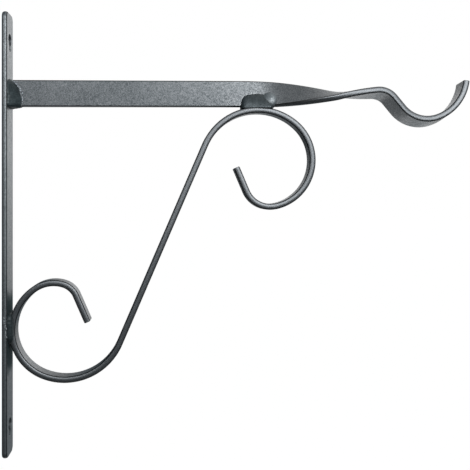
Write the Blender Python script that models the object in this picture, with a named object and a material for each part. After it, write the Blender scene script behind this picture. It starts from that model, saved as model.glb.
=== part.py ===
"""Wall bracket of flat steel bar: a back plate, an arm with an open hook, and a scroll brace, all welded.

Metres, +Z up. The origin is the middle of the back plate's wall face. +X points away from the wall, along
the arm, and the scroll brace lies in the XZ plane, under the arm.
"""

import math

import bmesh
import bpy
from mathutils import Vector

# Back plate, a flat bar with rounded corners
PLATE_LENGTH = 0.340
PLATE_WIDTH = 0.020
PLATE_THICKNESS = 0.0040
PLATE_CORNER_RADIUS = 0.005
PLATE_EDGE_ROUND = 0.0006

# Keyholes, each a round hole with a narrower slot that runs down from it
KEYHOLE_RADIUS = 0.0045
KEYHOLE_SLOT_WIDTH = 0.0045
KEYHOLE_SLOT_DROP = 0.0065
TOP_KEYHOLE_INSET = 0.0205
BOTTOM_KEYHOLE_INSET = 0.0242
SCREW_SEAT_RUN = 0.010

# Arm, a flat bar that stands on edge at the plate and lies flat at the hook
ARM_WIDTH = 0.020
ARM_THICKNESS = 0.0048
ARM_EDGE_ROUND = 0.0009
ARM_BELOW_PLATE_TOP = 0.0617
ARM_RISE_DEG = 0.55
ARM_STRAIGHT_RUN = 0.1835
ARM_DIP_RADIUS = 0.200
ARM_DIP_DEG = 0.8
ARM_DIP_RUN = 0.0635
ARM_LIFT_RADIUS = 0.063
ARM_LIFT_DEG = 4.7
ARM_LIFT_RUN = 0.0315
TWIST_LENGTH = 0.1235
TWIST_PAST_CREST_START = 0.0075
TWIST_DEG = 98.0
TWIST_EASE_SHARE = 0.30

# Crest and hook at the end of the arm
CREST_RADIUS = 0.0155
CREST_DEG = 54.1
HOOK_ENTRY_RUN = 0.0103
HOOK_BEND_RADIUS = 0.0270
HOOK_BEND_DEG = 66.7
HOOK_LIP_RADIUS = 0.0367
HOOK_LIP_DEG = 66.5

# Scroll brace, a flat bar bent into two rings that a straight diagonal joins
BRACE_WIDTH = 0.0125
BRACE_THICKNESS = 0.0048
BRACE_EDGE_ROUND = 0.0012
DIAGONAL_LENGTH = 0.1678
DIAGONAL_LEAN_DEG = 23.3

# Bends of the lower ring, from the diagonal to its tail
FOOT_WIDE_RADIUS = 0.0444
FOOT_WIDE_DEG = 88.6
FOOT_SIDE_RADIUS = 0.0379
FOOT_SIDE_DEG = 126.6
FOOT_TIGHT_RADIUS = 0.0245
FOOT_TIGHT_DEG = 49.3
FOOT_CURL_RADIUS = 0.0156
FOOT_CURL_DEG = 48.9
FOOT_TAIL_RUN = 0.0224

# Bends of the upper ring, from the diagonal to its tail
HEAD_WIDE_RADIUS = 0.0459
HEAD_WIDE_DEG = 108.1
HEAD_SIDE_RADIUS = 0.0372
HEAD_SIDE_DEG = 122.5
HEAD_TIGHT_RADIUS = 0.0272
HEAD_TIGHT_DEG = 13.4
HEAD_CURL_RADIUS = 0.0200
HEAD_CURL_DEG = 69.5
HEAD_TAIL_RUN = 0.0205

# Weld beads. A reach is how far a bead spreads over one of the two pieces that it joins
ARM_WELD_REACH = 0.0095
ARM_WELD_HANG = 0.0012
ARM_WELD_STAND = 0.0006
BRACE_HEAD_WELD_LENGTH = 0.0250
BRACE_HEAD_WELD_REACH = 0.0094
BRACE_HEAD_WELD_STAND = 0.0026
BRACE_HEAD_WELD_HANG = 0.0012
BRACE_HEAD_WELD_LIFT = 0.0010
BRACE_FOOT_WELD_LENGTH = 0.0200
BRACE_FOOT_WELD_REACH = 0.0036

# Shares of a bead's length, and of its two reaches there
ARM_WELD_SHARES = (
    (0.00, 0.20, 0.55),
    (0.06, 0.34, 0.82),
    (0.25, 0.55, 0.97),
    (0.50, 0.76, 1.00),
    (0.75, 0.93, 1.00),
    (0.90, 1.00, 0.98),
    (0.97, 0.92, 0.90),
    (1.00, 0.72, 0.72),
)
BRACE_WELD_SHARES = (
    (0.00, 0.50, 0.40),
    (0.05, 0.72, 0.70),
    (0.16, 0.90, 0.90),
    (0.35, 0.98, 1.00),
    (0.65, 1.00, 1.00),
    (0.84, 0.95, 0.92),
    (0.95, 0.78, 0.72),
    (1.00, 0.52, 0.42),
)
BEAD_ARC_STEPS = 7
BEAD_FULLNESS = 2.6

# Room between pieces that touch, and how far a cutter runs past what it cuts
GAP = 0.0003
OVERRUN = 0.003

# Fineness of the faceted shapes
BEND_STEP_DEG = 4.5
TWIST_STEPS = 30
CORNER_STEPS = 8
HOLE_STEPS = 24
ROUND_SEGMENTS = 2
SHARP_DEG = 35.0
SHORTEST_STEP_SHARE = 0.25

# A quarter turn, from lying to upright
UPRIGHT_DEG = 90.0

# Paint, as colour, metallic and roughness
GRAPHITE = ((0.105, 0.118, 0.126), 0.55, 0.42)
GRAPHITE_ON_WELDS = ((0.085, 0.100, 0.106), 0.55, 0.50)


class BarPath:
    """The centre line of a bent bar in the XZ plane, as runs of (length, turn in radians)."""

    def __init__(self, heading, runs):
        self.heading = heading
        self.runs = runs
        self.length = sum(length for length, turn in runs)

    def at(self, distance):
        """Place (x, z) and heading at a distance from the start. Outside the bar it runs on straight."""
        x = z = 0.0
        heading = self.heading
        if distance < 0.0:
            return distance * math.cos(heading), distance * math.sin(heading), heading
        left = distance
        for length, turn in self.runs:
            run = min(left, length)
            part = turn * run / length
            chord = run if abs(part) < 1e-9 else run * math.sin(part / 2) / (part / 2)
            x += chord * math.cos(heading + part / 2)
            z += chord * math.sin(heading + part / 2)
            heading += part
            left -= run
            if left <= 0.0:
                break
        return x + left * math.cos(heading), z + left * math.sin(heading), heading

    def stations(self, more=()):
        """Distances at which the bar gets a cross-section: run ends, steps in bends, and those in more."""
        found = [0.0]
        start = 0.0
        for length, turn in self.runs:
            steps = max(1, math.ceil(math.degrees(abs(turn)) / BEND_STEP_DEG))
            found += [start + length * (i + 1) / steps for i in range(steps)]
            start += length
        found = sorted(found + list(more))
        kept = [found[0]]
        shortest = SHORTEST_STEP_SHARE * TWIST_LENGTH / TWIST_STEPS
        for distance in found[1:]:
            if distance - kept[-1] > shortest:
                kept.append(distance)
        kept[-1] = self.length
        return kept


def straight(length):
    """A straight run of a bar."""
    return (length, 0.0)


def bend(radius, degrees):
    """A bend of a bar. Positive degrees turn from +X towards +Z."""
    turn = math.radians(degrees)
    return (radius * abs(turn), turn)


ARM_PATH = BarPath(
    math.radians(ARM_RISE_DEG),
    [
        straight(ARM_STRAIGHT_RUN),
        bend(ARM_DIP_RADIUS, -ARM_DIP_DEG),
        straight(ARM_DIP_RUN),
        bend(ARM_LIFT_RADIUS, ARM_LIFT_DEG),
        straight(ARM_LIFT_RUN),
        bend(CREST_RADIUS, -CREST_DEG),
        straight(HOOK_ENTRY_RUN),
        bend(HOOK_BEND_RADIUS, HOOK_BEND_DEG),
        bend(HOOK_LIP_RADIUS, HOOK_LIP_DEG),
    ],
)
ARM_START = Vector((PLATE_THICKNESS + GAP, 0.0, PLATE_LENGTH / 2 - ARM_BELOW_PLATE_TOP))

FOOT_TURN_DEG = FOOT_WIDE_DEG + FOOT_SIDE_DEG + FOOT_TIGHT_DEG + FOOT_CURL_DEG
BRACE_PATH = BarPath(
    math.radians(UPRIGHT_DEG - DIAGONAL_LEAN_DEG - FOOT_TURN_DEG),
    [
        straight(FOOT_TAIL_RUN),
        bend(FOOT_CURL_RADIUS, FOOT_CURL_DEG),
        bend(FOOT_TIGHT_RADIUS, FOOT_TIGHT_DEG),
        bend(FOOT_SIDE_RADIUS, FOOT_SIDE_DEG),
        bend(FOOT_WIDE_RADIUS, FOOT_WIDE_DEG),
        straight(DIAGONAL_LENGTH),
        bend(HEAD_WIDE_RADIUS, -HEAD_WIDE_DEG),
        bend(HEAD_SIDE_RADIUS, -HEAD_SIDE_DEG),
        bend(HEAD_TIGHT_RADIUS, -HEAD_TIGHT_DEG),
        bend(HEAD_CURL_RADIUS, -HEAD_CURL_DEG),
        straight(HEAD_TAIL_RUN),
    ],
)

# Distances along the arm. The crest is the bend that the hook's entry follows
RUNS_BEFORE_CREST = 5
CREST_START = sum(length for length, turn in ARM_PATH.runs[:RUNS_BEFORE_CREST])
TWIST_START = CREST_START + TWIST_PAST_CREST_START - TWIST_LENGTH


def eased(share, ease):
    """A share that grows steadily from 0 to 1, and softly over the first and last shares called ease."""
    if share < ease:
        return share * share / (2 * ease * (1 - ease))
    if share > 1 - ease:
        return 1 - (1 - share) ** 2 / (2 * ease * (1 - ease))
    return (share - ease / 2) / (1 - ease)


def arm_twist(distance):
    """How far the arm's section has turned about its centre line, in radians."""
    share = min(1.0, max(0.0, (distance - TWIST_START) / TWIST_LENGTH))
    return math.radians(TWIST_DEG) * eased(share, TWIST_EASE_SHARE)


def arm_underside(x):
    """Height of the arm's lowest corner at a distance x from the wall."""
    distance = x - ARM_START.x
    height = ARM_START.z + ARM_PATH.at(distance)[1]
    twist = arm_twist(distance)
    return height - ARM_WIDTH / 2 * math.cos(twist) - ARM_THICKNESS / 2 * math.sin(twist)


def place_brace():
    """Where the brace's path starts, so that its lower ring meets the plate and its upper ring meets the arm.

    Returns the path's start, where the lower ring meets the plate and where the upper ring meets the arm.
    """
    spots = [BRACE_PATH.at(distance) for distance in BRACE_PATH.stations()]
    half = len(spots) // 2
    nearest_wall = min(spots[:half])
    highest = max(spots[half:], key=lambda spot: spot[1])
    start_x = PLATE_THICKNESS + GAP + BRACE_THICKNESS / 2 - nearest_wall[0]
    head_x = start_x + highest[0]
    start_z = arm_underside(head_x) - GAP - BRACE_THICKNESS / 2 - highest[1]
    start = Vector((start_x, 0.0, start_z))
    foot = Vector((PLATE_THICKNESS, 0.0, start_z + nearest_wall[1]))
    head = Vector((head_x, 0.0, arm_underside(head_x)))
    return start, foot, head


BRACE_START, FOOT_CONTACT, HEAD_CONTACT = place_brace()


def clear_scene():
    """Removes every object that the scene starts with."""
    for obj in list(bpy.data.objects):
        bpy.data.objects.remove(obj, do_unlink=True)


def make_paint(name, paint):
    """A material of its own for a piece.

    Args:
        name: the material's name.
        paint: base colour, metallic and roughness.
    """
    colour, metallic, roughness = paint
    material = bpy.data.materials.new(name)
    material.use_nodes = True
    shader = material.node_tree.nodes["Principled BSDF"]
    shader.inputs["Base Color"].default_value = (*colour, 1.0)
    shader.inputs["Metallic"].default_value = metallic
    shader.inputs["Roughness"].default_value = roughness
    return material


def finish_object(name, bm, paint=None, location=(0.0, 0.0, 0.0)):
    """Turns a bmesh into an object of the scene. Without a paint it is a cutter, which isn't rendered."""
    bmesh.ops.recalc_face_normals(bm, faces=bm.faces)
    mesh = bpy.data.meshes.new(name)
    bm.to_mesh(mesh)
    bm.free()
    mesh.shade_smooth()
    mesh.set_sharp_from_angle(angle=math.radians(SHARP_DEG))
    obj = bpy.data.objects.new(name, mesh)
    obj.location = location
    bpy.context.scene.collection.objects.link(obj)
    if paint is None:
        obj.hide_render = True
        obj.display_type = "WIRE"
    else:
        mesh.materials.append(make_paint(name + "_paint", paint))
    return obj


def bridge_sections(bm, sections):
    """Joins closed cross-sections, each a list of points, into one closed body."""
    loops = [[bm.verts.new(point) for point in section] for section in sections]
    bm.faces.new(loops[0])
    bm.faces.new(loops[-1])
    for near, far in zip(loops, loops[1:]):
        for i in range(len(near)):
            j = (i + 1) % len(near)
            bm.faces.new((near[i], near[j], far[j], far[i]))


def section_point(path, distance, twist, across, along):
    """A point of a bar's cross-section, in the frame of the bar's path.

    Args:
        path: the bar's centre line.
        distance: how far along the bar the section lies.
        twist: a function that gives the section's turn there. At a quarter turn the bar's width lies along Y.
        across: how far the point lies from the centre line, through the bar's thickness.
        along: how far it lies from the centre line, along the bar's width.
    """
    x, z, heading = path.at(distance)
    turn = twist(distance)
    y = across * math.cos(turn) + along * math.sin(turn)
    rise = along * math.cos(turn) - across * math.sin(turn)
    return Vector((x - rise * math.sin(heading), y, z + rise * math.cos(heading)))


def bar_sections(path, distances, width, thickness, twist):
    """Rectangular cross-sections along a bar."""
    corners = [(side * thickness / 2, edge * width / 2) for side, edge in ((-1, -1), (1, -1), (1, 1), (-1, 1))]
    return [
        [section_point(path, distance, twist, across, along) for across, along in corners]
        for distance in distances
    ]


def lying_flat(distance):
    """The twist of a bar whose width lies along Y all the way."""
    return math.radians(UPRIGHT_DEG)


def round_edges(obj, width):
    """Rounds a piece's sharp edges and its sawn ends."""
    bevel = obj.modifiers.new("edge_round", "BEVEL")
    bevel.width = width
    bevel.segments = ROUND_SEGMENTS
    bevel.limit_method = "ANGLE"
    bevel.angle_limit = math.radians(SHARP_DEG)


def cut(obj, cutter):
    """Takes a cutter's shape out of a piece."""
    boolean = obj.modifiers.new("cut_by_" + cutter.name, "BOOLEAN")
    boolean.operation = "DIFFERENCE"
    boolean.solver = "EXACT"
    boolean.object = cutter


def plate_outline():
    """Corner points (y, z) of the plate, anticlockwise, each corner an arc."""
    points = []
    inset_y = PLATE_WIDTH / 2 - PLATE_CORNER_RADIUS
    inset_z = PLATE_LENGTH / 2 - PLATE_CORNER_RADIUS
    for corner, (side, end) in enumerate(((1, 1), (-1, 1), (-1, -1), (1, -1))):
        for step in range(CORNER_STEPS + 1):
            angle = math.radians(UPRIGHT_DEG) * (corner + step / CORNER_STEPS)
            y = side * inset_y + PLATE_CORNER_RADIUS * math.cos(angle)
            z = end * inset_z + PLATE_CORNER_RADIUS * math.sin(angle)
            points.append((y, z))
    return points


def keyhole_outline():
    """Points (y, z) of a keyhole about its round hole's centre, with the slot's round end below."""
    slot_radius = KEYHOLE_SLOT_WIDTH / 2
    meet = math.asin(slot_radius / KEYHOLE_RADIUS)
    points = []
    for step in range(HOLE_STEPS + 1):
        angle = -math.pi / 2 + meet + (2 * math.pi - 2 * meet) * step / HOLE_STEPS
        points.append((KEYHOLE_RADIUS * math.cos(angle), KEYHOLE_RADIUS * math.sin(angle)))
    half = HOLE_STEPS // 2
    for step in range(half + 1):
        angle = math.pi + math.pi * step / half
        points.append((slot_radius * math.cos(angle), slot_radius * math.sin(angle) - KEYHOLE_SLOT_DROP))
    return points


def slab(outline, low_x, high_x):
    """A bmesh of an outline in the YZ plane, extruded along X."""
    bm = bmesh.new()
    bridge_sections(bm, [[Vector((x, y, z)) for y, z in outline] for x in (low_x, high_x)])
    return bm


def divide_at(bm, height):
    """Divides the plate's faces at a height, so that what lies above and below it are faces of their own."""
    geometry = bm.verts[:] + bm.edges[:] + bm.faces[:]
    bmesh.ops.bisect_plane(bm, geom=geometry, plane_co=(0.0, 0.0, height), plane_no=(0.0, 0.0, 1.0))


def build_back_plate():
    """The plate that lies on the wall, with a keyhole near each end.

    The face that a screw's head presses on ends a little above and below its keyhole, clear of the arm.
    """
    places = {
        "top_keyhole_cutter": PLATE_LENGTH / 2 - TOP_KEYHOLE_INSET,
        "bottom_keyhole_cutter": BOTTOM_KEYHOLE_INSET - PLATE_LENGTH / 2,
    }
    bm = slab(plate_outline(), -PLATE_THICKNESS / 2, PLATE_THICKNESS / 2)
    for height in places.values():
        divide_at(bm, height + SCREW_SEAT_RUN)
        divide_at(bm, height - KEYHOLE_SLOT_DROP - SCREW_SEAT_RUN)
    plate = finish_object("back_plate", bm, GRAPHITE, (PLATE_THICKNESS / 2, 0.0, 0.0))
    round_edges(plate, PLATE_EDGE_ROUND)
    depth = PLATE_THICKNESS / 2 + OVERRUN
    for name, height in places.items():
        bm = slab(keyhole_outline(), -depth, depth)
        cutter = finish_object(name, bm, None, (PLATE_THICKNESS / 2, 0.0, height))
        cut(plate, cutter)


def twist_stations():
    """Distances along the arm at which its twist is followed."""
    return [TWIST_START + TWIST_LENGTH * step / TWIST_STEPS for step in range(TWIST_STEPS + 1)]


def build_arm():
    """The arm, from its end at the plate to the tip of its hook."""
    distances = ARM_PATH.stations(twist_stations())
    bm = bmesh.new()
    bridge_sections(bm, bar_sections(ARM_PATH, distances, ARM_WIDTH, ARM_THICKNESS, arm_twist))
    arm = finish_object("hook_arm", bm, GRAPHITE, ARM_START)
    round_edges(arm, ARM_EDGE_ROUND)


def build_arm_clearance():
    """A cutter around the arm, up to its crest, that leaves the gap to it in every weld bead."""
    stations = ARM_PATH.stations(twist_stations())
    distances = [-OVERRUN] + [distance for distance in stations if distance < CREST_START]
    bm = bmesh.new()
    sections = bar_sections(ARM_PATH, distances, ARM_WIDTH + 2 * GAP, ARM_THICKNESS + 2 * GAP, arm_twist)
    bridge_sections(bm, sections)
    return finish_object("arm_clearance_cutter", bm, None, ARM_START)


def build_brace():
    """The scroll brace, from the lower ring's tail to the upper ring's tail."""
    bm = bmesh.new()
    sections = bar_sections(BRACE_PATH, BRACE_PATH.stations(), BRACE_WIDTH, BRACE_THICKNESS, lying_flat)
    bridge_sections(bm, sections)
    brace = finish_object("scroll_brace", bm, GRAPHITE, BRACE_START)
    round_edges(brace, BRACE_EDGE_ROUND)


def build_brace_clearance():
    """A cutter around the brace that leaves the gap to it in every weld bead."""
    bm = bmesh.new()
    width = BRACE_WIDTH + 2 * GAP
    thickness = BRACE_THICKNESS + 2 * GAP
    bridge_sections(bm, bar_sections(BRACE_PATH, BRACE_PATH.stations(), width, thickness, lying_flat))
    return finish_object("brace_clearance_cutter", bm, None, BRACE_START)


def bead_outline(reach_a, reach_b, corner_lift):
    """Points (a, b) round a weld bead's cross-section: its inner corner, then its bulging outer face."""
    points = [(corner_lift, 0.0)]
    for step in range(BEAD_ARC_STEPS + 1):
        angle = math.pi / 2 * step / BEAD_ARC_STEPS
        a = reach_a * math.cos(angle) ** (2.0 / BEAD_FULLNESS)
        b = reach_b * math.sin(angle) ** (2.0 / BEAD_FULLNESS)
        points.append((a, b))
    return points


def build_weld_pair(name, bead, place_point, location, cutters):
    """Makes the bead at the front of the bracket and the one at its back.

    Args:
        name: the weld's name, which front and back end differently.
        bead: rows of distance along the bead, its two reaches there, and the lift of its inner corner.
        place_point: a function of side, distance and the two ways out of the corner, which gives a point.
        location: where that function's origin lies.
        cutters: the clearance cutters of the pieces that the bead touches.
    """
    for side, end in ((-1, "front"), (1, "back")):
        bm = bmesh.new()
        sections = [
            [place_point(side, distance, a, b) for a, b in bead_outline(reach_a, reach_b, lift)]
            for distance, reach_a, reach_b, lift in bead
        ]
        bridge_sections(bm, sections)
        obj = finish_object(name + "_" + end, bm, GRAPHITE_ON_WELDS, location)
        for cutter in cutters:
            cut(obj, cutter)


def beside_middle_plane(side, distance, a, b):
    """A point of a bead that runs down the plate's face: a leads off the plate, and b over it."""
    return Vector((a, side * (b + GAP / 2), -distance))


def beside_arm(side, distance, a, b):
    """A point of a bead that runs along the arm's lower edge: a leads up the arm's side, and b off it."""
    start = HEAD_CONTACT.x - ARM_START.x - BRACE_HEAD_WELD_LENGTH / 2
    height = a - ARM_WIDTH / 2 - BRACE_HEAD_WELD_HANG
    return section_point(ARM_PATH, start + distance, arm_twist, side * b, height)


def build_arm_weld(arm_cutter):
    """The beads that hold the arm to the plate. They start above the arm and wrap under it."""
    length = ARM_WELD_STAND + ARM_WIDTH + ARM_WELD_HANG
    off_plate = ARM_WELD_REACH
    over_plate = PLATE_WIDTH / 2 - PLATE_EDGE_ROUND
    bead = [(place * length, off_plate * a, over_plate * b, 0.0) for place, a, b in ARM_WELD_SHARES]
    top = ARM_START.z + ARM_WIDTH / 2 + ARM_WELD_STAND
    location = Vector((PLATE_THICKNESS + GAP, 0.0, top))
    build_weld_pair("arm_to_plate_weld", bead, beside_middle_plane, location, [arm_cutter])


def build_brace_head_weld(arm_cutter, brace_cutter):
    """The beads that hold the upper ring to the arm. They lie on the arm's sides and on the ring's top."""
    up_arm = BRACE_HEAD_WELD_REACH + BRACE_HEAD_WELD_HANG
    off_arm = ARM_THICKNESS / 2 + BRACE_HEAD_WELD_STAND
    lift = BRACE_HEAD_WELD_HANG + BRACE_HEAD_WELD_LIFT
    length = BRACE_HEAD_WELD_LENGTH
    bead = [(place * length, up_arm * a, off_arm * b, lift) for place, a, b in BRACE_WELD_SHARES]
    build_weld_pair("brace_to_arm_weld", bead, beside_arm, ARM_START, [arm_cutter, brace_cutter])


def build_brace_foot_weld(brace_cutter):
    """The beads that hold the lower ring to the plate, on the plate's face, beside the ring's edge."""
    length = BRACE_FOOT_WELD_LENGTH
    off_plate = BRACE_FOOT_WELD_REACH
    over_plate = PLATE_WIDTH / 2 - PLATE_EDGE_ROUND
    bead = [(place * length, off_plate * a, over_plate * b, 0.0) for place, a, b in BRACE_WELD_SHARES]
    location = Vector((PLATE_THICKNESS + GAP, 0.0, FOOT_CONTACT.z + length / 2))
    build_weld_pair("brace_to_plate_weld", bead, beside_middle_plane, location, [brace_cutter])


def main():
    """Builds every piece and parents it to one empty."""
    clear_scene()
    bracket = bpy.data.objects.new("wall_bracket", None)
    bpy.context.scene.collection.objects.link(bracket)
    build_back_plate()
    build_arm()
    build_brace()
    arm_cutter = build_arm_clearance()
    brace_cutter = build_brace_clearance()
    build_arm_weld(arm_cutter)
    build_brace_head_weld(arm_cutter, brace_cutter)
    build_brace_foot_weld(brace_cutter)
    for obj in bpy.context.scene.collection.objects:
        if obj is not bracket:
            obj.parent = bracket


main()
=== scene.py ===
"""Wall bracket of flat steel bar, dressed in hammered graphite enamel.

Metres, +Z up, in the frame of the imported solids: the origin is the middle of the back plate's wall face, and
+X points away from the wall, along the arm. The bars' sizes repeat those of the solids, because the frame is
all that this script reads.
"""

import logging
import math
import random
from collections.abc import Callable
from dataclasses import dataclass, field, replace
from enum import Enum

import bmesh
import bpy
from mathutils import Matrix, Vector

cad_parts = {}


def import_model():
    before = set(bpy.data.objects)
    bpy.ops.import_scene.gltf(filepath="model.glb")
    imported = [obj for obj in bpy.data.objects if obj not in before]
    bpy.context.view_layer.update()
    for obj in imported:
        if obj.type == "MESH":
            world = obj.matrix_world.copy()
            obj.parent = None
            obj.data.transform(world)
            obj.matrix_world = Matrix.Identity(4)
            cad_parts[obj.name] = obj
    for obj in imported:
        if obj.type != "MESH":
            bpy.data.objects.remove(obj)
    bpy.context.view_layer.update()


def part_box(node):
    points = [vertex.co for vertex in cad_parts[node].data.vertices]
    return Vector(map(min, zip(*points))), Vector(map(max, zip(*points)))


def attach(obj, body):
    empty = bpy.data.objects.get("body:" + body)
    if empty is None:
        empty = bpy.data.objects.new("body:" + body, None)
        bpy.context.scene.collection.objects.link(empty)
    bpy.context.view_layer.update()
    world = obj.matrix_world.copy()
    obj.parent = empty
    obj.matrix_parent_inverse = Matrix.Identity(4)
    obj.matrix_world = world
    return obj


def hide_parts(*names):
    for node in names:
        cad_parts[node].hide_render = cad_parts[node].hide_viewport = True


LOG = logging.getLogger("wall_bracket")

Object = bpy.types.Object
Node = bpy.types.Node
Tree = bpy.types.NodeTree
Socket = bpy.types.NodeSocket

BODY = "root"
ENAMEL_SLOT = "hammered_graphite_paint"
WELD_SLOT = "painted_weld"

SMOOTH_ANGLE = math.radians(40)
BEAD_SMOOTH_ANGLE = math.radians(75)
BEND_STEP = math.radians(3)
FLAT_FACE_WEIGHT = 80  # how much more the large faces count in a piece's shading
RIM_SEGMENTS = 2
NEARLY_HALF = 0.499  # the share of a side that a corner's round may take, so that two rounds don't meet
ALONG, TOWARDS, ACROSS = 0.9, 0.5, 0.1  # cosines by which a face looks along an axis, towards it or across it
TINY = 1e-6  # metres or radians that count as nothing
SUNK = 0.0003  # how deep a piece runs into the one that it is welded to
BEAD_STEP = 0.0006
RIPPLE_PITCH = 0.0024
PLATE_THICKNESS = 0.0040
ARM_THICKNESS = 0.0048
ARM_WIDTH = 0.020  # as on the solid, without the crowns
ROLLED = "rolled"  # attribute: 1 on a bar's rolled narrow sides, 0 on its broad ones
MIX_SLOTS = {"FLOAT": (2, 3, 0), "RGBA": (6, 7, 2)}  # a Mix node's two inputs and its output
WHITE = (1.0, 1.0, 1.0, 1.0)


class Side(Enum):
    """The side of the bracket's middle plane that a weld bead lies on. The front faces the camera."""

    FRONT = -1
    BACK = 1


class Facing(Enum):
    """Which way a new section faces."""

    UP = 0
    OUT = 90


# Hand tools


def put_down() -> None:
    """Leaves edit mode and deselects everything."""
    if bpy.context.object is not None and bpy.context.object.mode != "OBJECT":
        bpy.ops.object.mode_set(mode="OBJECT")
    bpy.ops.object.select_all(action="DESELECT")


def take_up(obj: Object) -> None:
    """Makes a piece the only one selected.

    Args:
        obj: the piece.
    """
    put_down()
    bpy.context.view_layer.objects.active = obj
    obj.select_set(True)


def open_mesh(obj: Object) -> None:
    """Goes into edit mode with all of a piece selected.

    Args:
        obj: the piece.
    """
    take_up(obj)
    bpy.ops.object.mode_set(mode="EDIT")
    bpy.ops.mesh.select_all(action="SELECT")


def named(name: str) -> Object:
    """Names the primitive that was just added, and leaves its place in its mesh.

    Args:
        name: the new name.

    Returns:
        The object.
    """
    obj = bpy.context.active_object
    obj.name = name
    obj.data.name = name
    bpy.ops.object.transform_apply(location=True, rotation=True, scale=True)
    return obj


def add_section(name: str, centre: Vector, facing: Facing) -> Object:
    """Adds a square of one metre, which the caller brings down to a bar's or a bead's section.

    Args:
        name: the piece's name.
        centre: the section's middle.
        facing: the way its face looks.

    Returns:
        The new object, in edit mode and selected.
    """
    put_down()
    turned = (0.0, math.radians(facing.value), 0.0)
    bpy.ops.mesh.primitive_plane_add(size=1.0, location=centre, rotation=turned)
    obj = named(name)
    open_mesh(obj)
    return obj


def turn(axis: str, angle: float, centre: Vector) -> None:
    """Turns what is selected about an axis through a point: about Y from +X to +Z, about X from +Z to +Y."""
    if abs(angle) > TINY:
        bpy.ops.transform.rotate(value=angle, orient_axis=axis, center_override=centre)


def stretch(ratios: tuple[float, float, float], centre: Vector) -> None:
    """Scales what is selected from a point."""
    bpy.ops.transform.resize(value=ratios, center_override=centre)


def pull(step: Vector) -> None:
    """Extrudes what is selected by a step."""
    bpy.ops.mesh.extrude_region_move(TRANSFORM_OT_translate={"value": step})


def round_corners(radius: float, segments: int, profile: float = 0.5) -> None:
    """Rounds the corners of the section that is selected: 0.5 is a round, 0.25 a straight corner."""
    bpy.ops.mesh.bevel(offset=radius, segments=segments, profile=profile, affect="VERTICES")


def round_rim(radius: float, segments: int) -> None:
    """Rounds the border of the faces that are selected."""
    bpy.ops.mesh.region_to_loop()
    bpy.ops.mesh.bevel(offset=radius, segments=segments, profile=0.5, affect="EDGES")


def pick(obj: Object, kind: str, wanted: Callable[..., bool]) -> None:
    """Selects the faces or the edges that a test wants, and no others.

    Args:
        obj: the piece, in edit mode.
        kind: "FACE" or "EDGE".
        wanted: the test of a face or an edge.
    """
    bpy.ops.mesh.select_mode(type=kind)
    bpy.ops.mesh.select_all(action="DESELECT")
    mesh = bmesh.from_edit_mesh(obj.data)
    for part in mesh.faces if kind == "FACE" else mesh.edges:
        part.select_set(wanted(part))
    bmesh.update_edit_mesh(obj.data)


def trim(obj: Object, point: Vector, normal: Vector) -> None:
    """Cuts off what lies beyond a plane, on the side its normal points to, and closes the cut.

    Args:
        obj: the piece.
        point: a point of the plane.
        normal: the plane's normal.
    """
    open_mesh(obj)
    bpy.ops.mesh.bisect(plane_co=point, plane_no=normal, use_fill=True, clear_outer=True)
    put_down()


def cut_away(obj: Object, cutter: Object) -> None:
    """Takes a cutter's shape out of a piece, and removes the cutter.

    Args:
        obj: the piece.
        cutter: the closed shape to take out.
    """
    take_up(obj)
    boolean = obj.modifiers.new("cut", "BOOLEAN")
    boolean.operation = "DIFFERENCE"
    boolean.solver = "EXACT"
    boolean.object = cutter
    bpy.ops.object.modifier_apply(modifier=boolean.name)
    bpy.data.objects.remove(cutter, do_unlink=True)


def finish_mesh(obj: Object, smooth_angle: float = SMOOTH_ANGLE) -> None:
    """Closes a piece's seams, points its faces outwards and shades it.

    Args:
        obj: the piece.
        smooth_angle: the angle between faces past which an edge is sharp.
    """
    open_mesh(obj)
    bpy.ops.mesh.remove_doubles(threshold=TINY)
    bpy.ops.mesh.normals_make_consistent(inside=False)
    put_down()
    take_up(obj)
    bpy.ops.object.shade_smooth_by_angle(angle=smooth_angle)
    weighted = obj.modifiers.new("flat_faces", "WEIGHTED_NORMAL")
    weighted.keep_sharp = True
    weighted.weight = FLAT_FACE_WEIGHT
    bpy.ops.object.modifier_apply(modifier=weighted.name)
    put_down()
    mesh = bmesh.new()
    mesh.from_mesh(obj.data)
    open_edges = sum(not edge.is_manifold for edge in mesh.edges)
    volume = mesh.calc_volume() * 1e6
    LOG.info("%s: %d faces, %d open edges, %.2f cm3", obj.name, len(mesh.faces), open_edges, volume)
    mesh.free()


# Bent bars


@dataclass(frozen=True)
class Run:
    """A stretch of a bent bar: its length, and how far it turns, positive from +X towards +Z."""

    length: float
    turn: float = 0.0


def bend(radius: float, degrees: float) -> Run:
    """A bend of a bar, from its radius and how many degrees it turns."""
    return Run(radius * abs(math.radians(degrees)), math.radians(degrees))


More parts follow.
